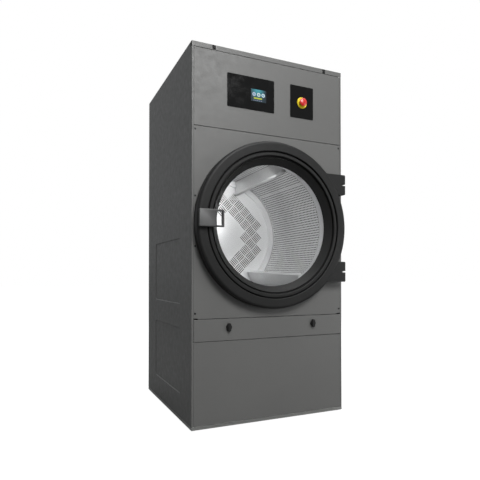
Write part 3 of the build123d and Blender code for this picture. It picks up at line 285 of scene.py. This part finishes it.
# Screws along the edges of the front panel: steel button heads, blackened in an oxide bath
# and lightly oiled, turned into rivet nuts.
oxide = Finish("black_oxide", (0.02, 0.02, 0.021), roughness=0.42, metallic=0.5)
oxide.feed("Roughness", oxide.spread(oxide.noise(800), 0.3, 0.7, 0.34, 0.52))
oxide.cover("panel_screws")

# Stainless steel with a fine brushed grain: the throat behind the door, the clamp ring and
# the hinge pins. Rolled and turned, the grain running round the drum's axis.
brushed = Finish("brushed_stainless", (0.62, 0.62, 0.63), roughness=0.32, metallic=1.0)
lines = brushed.noise(90, detail=3, stretch=(0.4, 14, 0.4))
brushed.tinted(brushed.spread(lines, 0.35, 0.65, 0.0, 0.5), (0.46, 0.46, 0.47))
brushed.feed("Roughness", brushed.spread(lines, 0.3, 0.7, 0.24, 0.42))
brushed.bumps(lines, 0.00005, 0.6)
brushed.cover("door_collar", "glass_clamp", "hinge_pins")

# Castings and machine paint: the bearing housing and the two motors, sand cast or drawn
# and sprayed; the big pulley is cast aluminium.
for name, colour, grit, nodes in (
    ("cast_iron_paint", (0.075, 0.078, 0.08), 260, ["bearing_housing"]),
    ("motor_paint", (0.13, 0.16, 0.185), 420, ["drive_motor", "blower_motor"]),
):
    casting = Finish(name, colour, roughness=0.55, Coat_Weight=0.15)
    pits = casting.noise(grit, detail=5)
    casting.tinted(casting.spread(pits, 0.35, 0.7, 0.0, 0.5), tuple(0.6 * c for c in colour))
    casting.feed("Roughness", casting.spread(pits, 0.3, 0.7, 0.48, 0.68))
    casting.bumps(pits, 0.0006, 0.6)
    casting.cover(*nodes)
cast_alloy = Finish("cast_aluminium", (0.52, 0.52, 0.53), roughness=0.42, metallic=0.9)
skin = cast_alloy.noise(330, detail=5)
cast_alloy.feed("Roughness", cast_alloy.spread(skin, 0.3, 0.7, 0.34, 0.56))
cast_alloy.bumps(skin, 0.0004, 0.5)
cast_alloy.cover("drum_pulley")

# Rubber and heat: the flat drive belt with its woven back, the door's soft gasket, and the
# heater's rods, whose sheath has gone straw and blue from the heat.
rubber = Finish("black_rubber", (0.022, 0.022, 0.022), roughness=0.75)
ribs = rubber.noise(500, detail=2)
rubber.feed("Roughness", rubber.spread(ribs, 0.3, 0.7, 0.62, 0.86))
rubber.bumps(ribs, 0.0003, 0.6)
rubber.cover("drive_belt", "door_gasket")
sheath = Finish("heater_sheath", (0.2, 0.15, 0.1), roughness=0.4, metallic=0.9)
sheath.tinted(sheath.spread(sheath.noise(24), 0.4, 0.65, 0.0, 1.0), (0.1, 0.11, 0.17))
sheath.feed("Roughness", sheath.spread(sheath.noise(300), 0.3, 0.7, 0.34, 0.55))
sheath.cover("heating_elements")
oiled_bronze = Finish("sintered_bronze", (0.45, 0.28, 0.11), roughness=0.4, metallic=0.95)
oiled_bronze.feed("Roughness", oiled_bronze.spread(oiled_bronze.noise(900), 0.3, 0.7, 0.3, 0.55))
oiled_bronze.bumps(oiled_bronze.noise(900), 0.0001, 0.5)
oiled_bronze.cover("door_hinge_bushes")

# Felt ring that the drum's mouth runs against: pressed wool, cut from sheet.
felt = Finish("pressed_felt", (0.26, 0.25, 0.23), roughness=0.95, Sheen_Weight=0.4)
fibres = felt.noise(700, detail=8, roughness=0.7)
felt.tinted(felt.spread(fibres, 0.35, 0.65, 0.0, 0.8), (0.17, 0.165, 0.155))
felt.bumps(fibres, 0.0012, 0.9)
felt.cover("felt_seal")

# Door rings, latches and small black parts: glass-filled nylon, injection moulded in tools
# with a fine spark-eroded grain.
moulded = Finish("black_moulding", (0.0095, 0.0095, 0.0093), roughness=0.5, Specular_IOR_Level=0.25)
erosion = moulded.noise(1100, detail=3)
moulded.tinted(moulded.spread(moulded.noise(3, detail=4), 0.35, 0.7, 0.0, 0.5), (0.016, 0.016, 0.0155))
moulded.feed("Roughness", moulded.spread(erosion, 0.3, 0.7, 0.38, 0.54))
moulded.bumps(erosion, 0.00025, 0.6)
moulded.cover(
    "door_ring", "door_inner_ring", "cable_gland", "control_hinge_leaves",
    "estop_contact_block", "estop_stem", "latch_left", "latch_right", "electronics_box",
)

# The door's glass: one flat disc of toughened glass, clamped in the inner ring. It is so
# thin that it hardly bends the light.
glass = Finish("door_glass", (1, 1, 1), roughness=0.03)
clear = glass.node("ShaderNodeBsdfTransparent", inputs={"Color": (0.97, 0.975, 0.975, 1)})
gloss = glass.node("ShaderNodeBsdfAnisotropic", inputs={"Color": (1, 1, 1, 1), "Roughness": 0.02})
share = glass.node("ShaderNodeFresnel", inputs={"IOR": 1.4}) * 0.75
pane = glass.node("ShaderNodeMixShader", inputs=[share, clear, gloss])
glass.tree.links.new(pane.socket, glass.tree.nodes["Material Output"].inputs["Surface"])
glass.cover("door_glass")

# Touch screen and stop button plate: toughened glass printed black on the back, bonded to
# the control panel.
black_glass = Finish("black_glass", (0.006, 0.006, 0.006), roughness=0.12, Specular_IOR_Level=0.15)
wiped = black_glass.noise(26, detail=5)
black_glass.feed("Roughness", black_glass.spread(wiped, 0.35, 0.7, 0.07, 0.2))
black_glass.cover("touch_screen", "estop_plate")

# The lit display under the glass: a generic program page with three round buttons over a
# teal ground, a bright bar below them and a row of small marks. No lettering.
display_low, display_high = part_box("display")
page = Finish("display_face", (0.004, 0.006, 0.008), roughness=0.2)
page.shader.inputs["Emission Strength"].default_value = 1.0
BUTTON_UP, BUTTON_R, FACE_R = 0.58, 0.0085, 0.0055
MARKS_UP, MARK_HALF_WIDE, MARK_HALF_TALL = 0.09, 0.035, 0.022
x, _, z = page.axes()
wide = display_high.x - display_low.x
tall = display_high.z - display_low.z
u = (x - display_low.x) * (1 / wide)
v = (z - display_low.z) * (1 / tall)


def disc(across, up, radius):
    """1 inside a round mark, placed as shares of the page's width."""
    dx = (u - across) * wide
    dz = (v - up) * tall
    return dx * dx + dz * dz < radius * radius


def bar(across, up, half_wide, half_tall):
    """1 inside a rectangle, placed as shares of the page's width and height."""
    return (abs(u - across) < half_wide) * (abs(v - up) < half_tall)


sides = page.spread(abs(u - 0.45), 0.1, 0.5, 1.0, 0.0)
glow_up = page.spread(v, 0.25, 0.9, 0.1, 1.0)
shade = page.blend(sides * glow_up, (0.004, 0.012, 0.02, 1), (0.04, 0.3, 0.36, 1))
for across, tint in (
    (0.2, (0.55, 0.6, 0.75, 1)),
    (0.5, (0.75, 0.85, 0.8, 1)),
    (0.8, (0.7, 0.85, 0.9, 1)),
):
    shade = page.blend(disc(across, BUTTON_UP, BUTTON_R), shade, tint)
    shade = page.blend(disc(across, BUTTON_UP, FACE_R), shade, (0.06, 0.22, 0.34, 1))
    shade = page.blend(bar(across, BUTTON_UP, 0.012, 0.05), shade, (0.8, 0.9, 0.95, 1))
shade = page.blend(bar(0.45, 0.27, 0.27, 0.06), shade, (0.42, 0.48, 0.03, 1))
for across in (0.2, 0.32, 0.44, 0.56, 0.68):
    mark = bar(across, MARKS_UP, MARK_HALF_WIDE, MARK_HALF_TALL)
    shade = page.blend(mark, shade, (0.3, 0.28, 0.42, 1))
page.feed("Emission Color", shade)
page.cover("display")

# Stop button: a yellow collar and a red mushroom head, injection moulded. The head turns
# on its stem to let the button out again.
yellow = Finish("stop_yellow", (0.82, 0.64, 0.012), roughness=0.4)
yellow.feed("Roughness", yellow.spread(yellow.noise(300), 0.3, 0.7, 0.34, 0.5))
yellow.cover("estop_collar")
red = Finish("stop_red", (0.55, 0.015, 0.012), roughness=0.3, Coat_Weight=0.3)
red.feed("Roughness", red.spread(red.noise(300), 0.3, 0.7, 0.24, 0.38))
red.cover("estop_head")

# The drum's wall: three stainless sheets punched with oval holes in staggered rows, each
# rolled to a third of a circle, turned in at the mouth and screwed to the lifters. Plain
# margins run round every sheet, with a fine gap where two sheets meet.
drum_steel = Finish("drum_stainless", (0.66, 0.66, 0.66), roughness=0.42, metallic=0.92)
rolled = drum_steel.noise(60, detail=3, stretch=(0.5, 8, 0.5))
scuffed = drum_steel.noise(9, detail=5)
drum_steel.tinted(drum_steel.spread(scuffed, 0.35, 0.7, 0.0, 0.5), (0.56, 0.56, 0.56))
drum_steel.feed("Roughness", drum_steel.spread(rolled, 0.3, 0.7, 0.36, 0.52))
drum_steel.bumps(rolled, 0.00005, 0.5)

SHEETS, SEAM_ANGLE, SEAM_GAP = 3, math.radians(45), 0.0012
ROWS, HOLES, PITCH = 54, 38, 0.014
MARGIN, WALL = 0.005, 0.001
HOLE_LONG, HOLE_MID, HOLE_END = 0.0052, 0.0038, 0.0023
INSIDE_SHELL, MOUTH_R = 0.0015, 0.304
FIRST_INSET = 0.001
TOUCH, SHARP = 0.0001, math.radians(35)
shell_low, shell_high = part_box("drum_shell")
drum_z = (shell_low.z + shell_high.z) / 2
wall_r = (shell_high.z - shell_low.z) / 2 - INSIDE_SHELL
lip = wall_r - MOUTH_R
row = (math.tau * wall_r / SHEETS - 2 * MARGIN) / ROWS
plain_end = (shell_high.y - shell_low.y - WALL - HOLES * PITCH) / 2


def only(thing, mode="EDIT"):
    """Makes one object active and alone selected, in edit mode with nothing selected."""
    bpy.ops.object.select_all(action="DESELECT")
    thing.select_set(True)
    bpy.context.view_layer.objects.active = thing
    if mode == "EDIT":
        bpy.ops.object.mode_set(mode="EDIT")
        bpy.ops.mesh.select_all(action="DESELECT")
        bpy.ops.object.mode_set(mode="OBJECT")


def pull(thing, where, offset):
    """Extrudes the edges whose ends all pass the test, by an offset."""
    only(thing)
    for vertex in thing.data.vertices:
        vertex.select = where(vertex.co)
    for edge in thing.data.edges:
        edge.select = all(thing.data.vertices[k].select for k in edge.vertices)
    bpy.ops.object.mode_set(mode="EDIT")
    bpy.ops.mesh.extrude_region_move(TRANSFORM_OT_translate={"value": offset})
    bpy.ops.object.mode_set(mode="OBJECT")


def finish_modifiers(thing):
    """Applies every modifier of a piece, in order."""
    only(thing, "OBJECT")
    for modifier in list(thing.modifiers):
        bpy.ops.object.modifier_apply(modifier=modifier.name)


def repeat(thing, count, offset):
    """Repeats a mesh along an offset, with the touching edges joined."""
    array = thing.modifiers.new("repeat", "ARRAY")
    array.count = count
    array.use_relative_offset = False
    array.use_constant_offset = True
    array.constant_offset_displace = offset
    array.use_merge_vertices = True
    array.merge_threshold = TOUCH
    finish_modifiers(thing)


# one punched cell, laid flat: the drum's axis runs along x, its circumference along y. The
# inset's inner corners are moved out to the oval of the hole.
bpy.ops.object.select_all(action="DESELECT")
bpy.ops.mesh.primitive_grid_add(x_subdivisions=2, y_subdivisions=1, size=1)
cell = bpy.context.object
for vertex in cell.data.vertices:
    vertex.co = ((vertex.co.x + 0.5) * PITCH, (vertex.co.y + 0.5) * row, 0)
bpy.ops.object.mode_set(mode="EDIT")
bpy.ops.mesh.select_all(action="SELECT")
bpy.ops.mesh.dissolve_faces()
bpy.ops.mesh.inset(thickness=FIRST_INSET)
bpy.ops.mesh.delete(type="FACE")
bpy.ops.object.mode_set(mode="OBJECT")
for vertex in cell.data.vertices:
    across, up = vertex.co.x - PITCH / 2, vertex.co.y - row / 2
    if abs(up) < row / 2 - TOUCH:
        middle = abs(across) < PITCH / 8
        reach = HOLE_MID if middle else HOLE_END
        vertex.co.x = PITCH / 2 + (0 if middle else math.copysign(HOLE_LONG, across))
        vertex.co.y = row / 2 + math.copysign(reach, up)

# the second row stands half a pitch out of step, and its ends are drawn to the first row's
second = bpy.data.objects.new("second_row", cell.data.copy())
bpy.context.scene.collection.objects.link(second)
for vertex in second.data.vertices:
    vertex.co += Vector((PITCH / 2, row, 0))
repeat(cell, HOLES, (PITCH, 0, 0))
repeat(second, HOLES - 1, (PITCH, 0, 0))
pull(second, lambda at: at.x < 0.6 * PITCH, (-PITCH / 2, 0, 0))
pull(second, lambda at: at.x > (HOLES - 0.55) * PITCH, (PITCH / 2, 0, 0))
only(cell, "OBJECT")
second.select_set(True)
bpy.ops.object.join()
bpy.ops.object.mode_set(mode="EDIT")
bpy.ops.mesh.select_all(action="SELECT")
bpy.ops.mesh.remove_doubles(threshold=TOUCH)
bpy.ops.object.mode_set(mode="OBJECT")
repeat(cell, ROWS // 2, (0, 2 * row, 0))
pull(cell, lambda at: at.y < TOUCH, (0, SEAM_GAP / 2 - MARGIN, 0))
pull(cell, lambda at: at.y > ROWS * row - TOUCH, (0, MARGIN - SEAM_GAP / 2, 0))
pull(cell, lambda at: at.x > HOLES * PITCH - TOUCH, (plain_end, 0, 0))
pull(cell, lambda at: at.x < TOUCH, (-plain_end, 0, 0))
pull(cell, lambda at: at.x < TOUCH - plain_end, (-lip, 0, 0))

for number in range(SHEETS):
    sheet = bpy.data.objects.new(f"drum_sheet_{number + 1}", cell.data.copy())
    bpy.context.scene.collection.objects.link(sheet)
    for vertex in sheet.data.vertices:
        along = vertex.co.x + plain_end
        turn = SEAM_ANGLE + number * math.tau / SHEETS + (vertex.co.y + MARGIN) / wall_r
        radius = wall_r + min(along, 0)
        vertex.co.x = radius * math.cos(turn)
        vertex.co.y = shell_low.y + WALL + max(along, 0)
        vertex.co.z = drum_z + radius * math.sin(turn)
    thick = sheet.modifiers.new("wall", "SOLIDIFY")
    thick.thickness = WALL
    thick.offset = 1
    finish_modifiers(sheet)
    bpy.ops.object.shade_smooth_by_angle(angle=SHARP)
    drum_steel.cover(sheet)
    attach(sheet, "drum")
    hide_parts("drum_shell")
bpy.data.objects.remove(cell)

# The drum's back plate: one dished stainless pressing. Blocks of long slots, laid as in a
# basket weave, let the hot air through between the stepped rim and the plain centre.
plate_low, plate_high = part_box("drum_back_plate")
plate_r = (plate_high.z - plate_low.z) / 2
PLATE, TURNS = 0.0015, 120
RIM_WIDE, FIELD_DEEP, CENTRE_DEEP, CENTRE_R = 0.034, 0.006, 0.002, 0.110
# the profile from the edge to the middle: how far behind the rim's face, at which radius
DISH = [
    (0.004, plate_r - 0.0005), (0.0, plate_r - 0.005), (0.0, plate_r - RIM_WIDE),
    (FIELD_DEEP, plate_r - RIM_WIDE - 0.004), (FIELD_DEEP, CENTRE_R + 0.010),
    (CENTRE_DEEP, CENTRE_R), (CENTRE_DEEP, 0.0),
]
bpy.ops.object.select_all(action="DESELECT")
bpy.ops.mesh.primitive_plane_add(size=0.001)
dish = bpy.context.object
dish.name = "drum_slotted_plate"
bpy.ops.object.mode_set(mode="EDIT")
bpy.ops.mesh.select_all(action="SELECT")
bpy.ops.mesh.merge(type="CENTER")
bpy.ops.transform.translate(value=(0, plate_low.y + DISH[0][0], drum_z + DISH[0][1]))
for (depth, radius), (next_depth, next_radius) in zip(DISH, DISH[1:]):
    step = (0, next_depth - depth, next_radius - radius)
    bpy.ops.mesh.extrude_region_move(TRANSFORM_OT_translate={"value": step})
bpy.ops.mesh.select_all(action="SELECT")
bpy.ops.mesh.spin(steps=TURNS, angle=math.tau, center=(0, 0, drum_z), axis=(0, 1, 0))
bpy.ops.mesh.select_all(action="SELECT")
bpy.ops.mesh.remove_doubles(threshold=0.00005)
bpy.ops.mesh.normals_make_consistent(inside=False)
bpy.ops.object.mode_set(mode="OBJECT")
facing = sum(face.normal.y * face.area for face in dish.data.polygons)
thick = dish.modifiers.new("plate", "SOLIDIFY")
thick.thickness = PLATE
thick.offset = 1 if facing > 0 else -1
finish_modifiers(dish)

# one punch for a slot with round ends, set out block by block
SLOT, SLOT_WIDE, SLOT_PITCH, SLOTS = 0.050, 0.0054, 0.0108, 5
BLOCK, WEAVE_ANGLE = 0.054, math.radians(45)
FIELD_IN, FIELD_OUT = 0.112, 0.281
PUNCH_DEEP, SLOT_EDGE = 0.02, math.radians(25)
bpy.ops.object.select_all(action="DESELECT")
bpy.ops.mesh.primitive_cylinder_add(
    vertices=12, radius=SLOT_WIDE / 2, depth=PUNCH_DEEP, rotation=(math.pi / 2, 0, 0)
)
punch = bpy.context.object
bpy.ops.object.transform_apply()
for vertex in punch.data.vertices:
    if abs(vertex.co.x) > TOUCH:
        vertex.co.x += math.copysign((SLOT - SLOT_WIDE) / 2, vertex.co.x)
punches = []
reach = int(FIELD_OUT / BLOCK) + 1
for i in range(-reach, reach + 1):
    for j in range(-reach, reach + 1):
        corners = [math.hypot(i + a, j + b) * BLOCK for a in (-0.5, 0.5) for b in (-0.5, 0.5)]
        if max(corners) > FIELD_OUT or min(corners) < FIELD_IN:
            continue
        for k in range(SLOTS):
            beside = (k - (SLOTS - 1) / 2) * SLOT_PITCH
            place = Matrix.Translation((0, plate_low.y + FIELD_DEEP, drum_z))
            place @= Matrix.Rotation(WEAVE_ANGLE, 4, "Y")
            place @= Matrix.Translation((i * BLOCK, 0, j * BLOCK))
            if (i + j) % 2:
                place @= Matrix.Rotation(math.radians(90), 4, "Y")
            tool = bpy.data.objects.new("punch", punch.data.copy())
            bpy.context.scene.collection.objects.link(tool)
            tool.data.transform(place @ Matrix.Translation((0, 0, beside)))
            punches.append(tool)
bpy.ops.object.select_all(action="DESELECT")
for tool in punches:
    tool.select_set(True)
bpy.context.view_layer.objects.active = punches[0]
bpy.ops.object.join()
cut = dish.modifiers.new("slots", "BOOLEAN")
cut.operation = "DIFFERENCE"
cut.object = punches[0]
cut.solver = "EXACT"
finish_modifiers(dish)
bpy.data.objects.remove(punches[0])
bpy.data.objects.remove(punch)
only(dish, "OBJECT")
bpy.ops.object.shade_smooth_by_angle(angle=SLOT_EDGE)
pressed = Finish("pressed_stainless", (0.7, 0.7, 0.705), roughness=0.5, metallic=0.55)
matt_patches = pressed.noise(7, detail=5)
pressed.tinted(pressed.spread(matt_patches, 0.35, 0.7, 0.0, 0.5), (0.68, 0.68, 0.685))
pressed.feed("Roughness", pressed.spread(matt_patches, 0.3, 0.7, 0.45, 0.6))
pressed.bumps(pressed.noise(120), 0.00004, 0.5)
pressed.cover(dish)
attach(dish, "drum")
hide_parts("drum_back_plate")

# Lifters: three folded stainless ribs that carry the laundry up. Their edges are pressed
# round so that nothing snags, and they are screwed on from outside the drum.
LIFTER_EASE = 0.003


def eased(node, name, body, width, finish):
    """Makes a copy of a CAD node with rounded edges, which stands for the node."""
    piece = bpy.data.objects.new(name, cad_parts[node].data.copy())
    bpy.context.scene.collection.objects.link(piece)
    only(piece, "OBJECT")
    bpy.ops.object.mode_set(mode="EDIT")
    bpy.ops.mesh.select_all(action="SELECT")
    bpy.ops.mesh.remove_doubles(threshold=0.00001)
    bpy.ops.mesh.dissolve_limited(angle_limit=math.radians(2))
    bpy.ops.object.mode_set(mode="OBJECT")
    round_off = piece.modifiers.new("edges", "BEVEL")
    round_off.width = width
    round_off.segments = 3
    round_off.limit_method = "ANGLE"
    round_off.angle_limit = SHARP
    finish_modifiers(piece)
    bpy.ops.object.shade_smooth_by_angle(angle=SHARP)
    finish.cover(piece)
    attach(piece, body)
    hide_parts(node)


eased("drum_lifters", "drum_ribs", "drum", LIFTER_EASE, drum_steel)

# The door's handle: one die-cast zinc part, with its edges eased and its skin matted by
# bead blasting, then lacquered. It is screwed to the door's ring from behind.
blasted = Finish("blasted_metal", (0.075, 0.075, 0.075), roughness=0.45, metallic=0.6)
beads = blasted.noise(1600, detail=2)
blasted.tinted(blasted.spread(blasted.noise(60), 0.3, 0.7, 0.0, 0.4), (0.09, 0.09, 0.09))
blasted.feed("Roughness", blasted.spread(beads, 0.3, 0.7, 0.34, 0.5))
blasted.bumps(beads, 0.0002, 0.5)
HANDLE_EASE = 0.0012
eased("door_handle", "door_pull", "door", HANDLE_EASE, blasted)

# Lint screen: fine stainless wire cloth, stretched over the drawer's frame and glued down.
# The warp wires lie under the weft wires.
mesh_low, mesh_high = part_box("lint_mesh")
WIRE, APART, EDGE = 0.00018, 0.0032, 0.001
wires = []
for turned, span, start, stop in (
    (False, mesh_high.x - mesh_low.x, mesh_low.y, mesh_high.y),
    (True, mesh_high.y - mesh_low.y, mesh_low.x, mesh_high.x),
):
    bpy.ops.object.select_all(action="DESELECT")
    bpy.ops.mesh.primitive_cylinder_add(
        vertices=6, radius=WIRE, depth=span, rotation=(0, math.pi / 2, 0)
    )
    wire = bpy.context.object
    bpy.ops.object.transform_apply()
    if turned:
        wire.data.transform(Matrix.Rotation(math.pi / 2, 4, "Z"))
    level = mesh_low.z + (3 if turned else 1) * WIRE
    middle = (mesh_low + mesh_high) / 2
    count = int((stop - start - 2 * EDGE) / APART)
    first = (start + stop - (count - 1) * APART) / 2
    at = (first, middle.y, level) if turned else (middle.x, first, level)
    wire.data.transform(Matrix.Translation(at))
    line = wire.modifiers.new("cloth", "ARRAY")
    line.count = count
    line.use_relative_offset = False
    line.use_constant_offset = True
    line.constant_offset_displace = (APART, 0, 0) if turned else (0, APART, 0)
    finish_modifiers(wire)
    wires.append(wire)
only(wires[0], "OBJECT")
wires[1].select_set(True)
bpy.ops.object.join()
wires[0].name = "lint_wire_cloth"
drum_steel.cover(wires[0])
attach(wires[0], "lint_drawer")
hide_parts("lint_mesh")

# Screws along the edges of the rear panel: zinc plated cylinder heads with a socket in the
# middle, driven through the sheet into the flanges of the side panels and the top cover.
rear_low, rear_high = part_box("rear_panel")
INSET, HEAD, HEAD_TALL, SOCKET, PER_SIDE = 0.012, 0.005, 0.0028, 0.0022, 7
foot, top = rear_low.z + INSET, rear_high.z - INSET
middle_x = (rear_low.x + rear_high.x) / 2
spots = [
    (side, foot + k * (top - foot) / (PER_SIDE - 1))
    for side in (rear_low.x + INSET, rear_high.x - INSET) for k in range(PER_SIDE)
]
spots += [(middle_x, foot), (middle_x, top)]
heads = []
for x, z in spots:
    bpy.ops.object.select_all(action="DESELECT")
    bpy.ops.mesh.primitive_cylinder_add(
        vertices=24, radius=HEAD, depth=HEAD_TALL, rotation=(math.pi / 2, 0, 0)
    )
    head = bpy.context.object
    bpy.ops.object.transform_apply()
    head.data.transform(Matrix.Translation((x, rear_high.y + HEAD_TALL / 2, z)))
    heads.append(head)
for head in heads:
    only(head)
    for face in head.data.polygons:
        face.select = face.normal.y > 0.9
    bpy.ops.object.mode_set(mode="EDIT")
    bpy.ops.mesh.inset(thickness=HEAD - SOCKET)
    bpy.ops.mesh.extrude_region_move(TRANSFORM_OT_translate={"value": (0, -HEAD_TALL / 2, 0)})
    bpy.ops.object.mode_set(mode="OBJECT")
bpy.ops.object.select_all(action="DESELECT")
for head in heads:
    head.select_set(True)
bpy.context.view_layer.objects.active = heads[0]
bpy.ops.object.join()
rear_screws = heads[0]
rear_screws.name = "rear_screws"
rounding = rear_screws.modifiers.new("edges", "BEVEL")
rounding.width = 0.0006
rounding.segments = 2
rounding.limit_method = "ANGLE"
finish_modifiers(rear_screws)
bpy.ops.object.shade_smooth_by_angle(angle=SHARP)
zinc_plate.cover(rear_screws)
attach(rear_screws, "cabinet")

# Lamp inside the drum's mouth, above the door's glass, which shines down on the back plate
# and the lower wall.
drum_lamp_place = (0, shell_low.y + 0.05, drum_z + 0.22)
lamp("drum_lamp", drum_lamp_place, (0.05, shell_high.y, drum_z - 0.1), (0.25, 0.1), 2.5)
